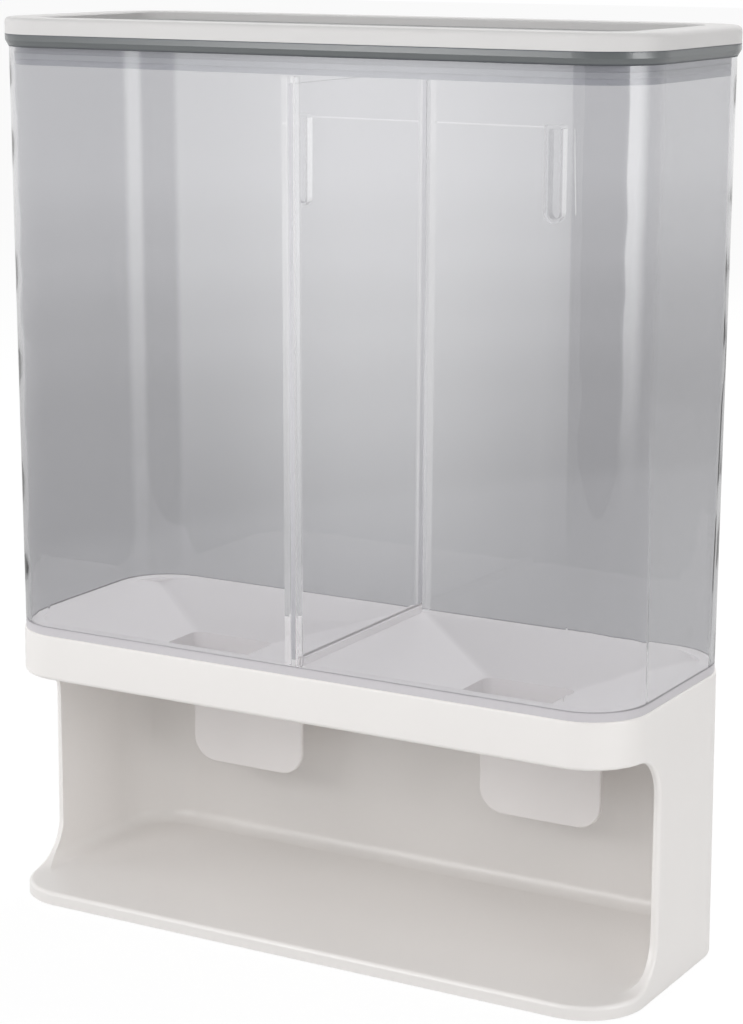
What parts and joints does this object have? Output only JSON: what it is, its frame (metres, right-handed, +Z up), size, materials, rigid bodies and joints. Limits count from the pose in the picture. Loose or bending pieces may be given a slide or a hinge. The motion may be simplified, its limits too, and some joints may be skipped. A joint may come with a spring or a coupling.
{
  "type": "rice dispenser",
  "caption": "Upright rice and grain dispenser: clear divided container on a white stand with an open cup bay, press-flap outlets and a lift-off lid.",
  "frame": {"origin": "on the worktop, under the middle of the body", "axes": "+Z up, open cup bay faces -Y, wide side along X"},
  "size_m": [0.3046, 0.121, 0.3899],
  "materials": {
    "white_moulding": "satin moulded white",
    "paddle_white": "satin moulded off-white",
    "lid_white": "semi-gloss moulded white",
    "clear_plastic": "clear, faintly smoky, polished",
    "grey_translucent": "translucent grey, smooth",
    "silicone": "matte translucent white",
    "soft_feet": "matte grey",
    "steel": "bright wire and zinc"
  },
  "bodies": {
    "stand": {"base_stand": "white_moulding", "base_feet": "soft_feet", "container": "clear_plastic", "hopper_floor": "white_moulding", "hopper_gasket": "silicone", "hopper_screws": "steel", "outlet_housing_left": "white_moulding", "housing_screws_left": "steel", "pivot_pin_left": "steel", "torsion_spring_left": "steel", "outlet_housing_right": "white_moulding", "housing_screws_right": "steel", "pivot_pin_right": "steel", "torsion_spring_right": "steel"},
    "lid": {"lid_tray": "grey_translucent", "lid_gasket": "silicone", "lid_frame": "lid_white"},
    "divider_panel": {"divider": "clear_plastic"},
    "left_lever": {"press_lever_left": "paddle_white", "flap_seal_left": "silicone"},
    "right_lever": {"press_lever_right": "paddle_white", "flap_seal_right": "silicone"}
  },
  "joints": [
    {"name": "lid_lift", "type": "slide", "parent": "stand", "child": "lid", "axis": [0, 0, 1], "range_m": [0, 0.12]},
    {"name": "divider_lift", "type": "slide", "parent": "stand", "child": "divider_panel", "axis": [0, 0, 1], "range_m": [0, 0.003]},
    {"name": "left_press", "type": "hinge", "parent": "stand", "child": "left_lever", "pos_m": [-0.0745, 0.0256, 0.098], "axis": [1, 0, 0], "range_deg": [0, 28], "stiffness_Nm_per_rad": 0.2, "springref_deg": -17.19, "deforming": ["torsion_spring_left"]},
    {"name": "right_press", "type": "hinge", "parent": "stand", "child": "right_lever", "pos_m": [0.0745, 0.0256, 0.098], "axis": [1, 0, 0], "range_deg": [0, 28], "stiffness_Nm_per_rad": 0.2, "springref_deg": -17.19, "deforming": ["torsion_spring_right"]}
  ]
}
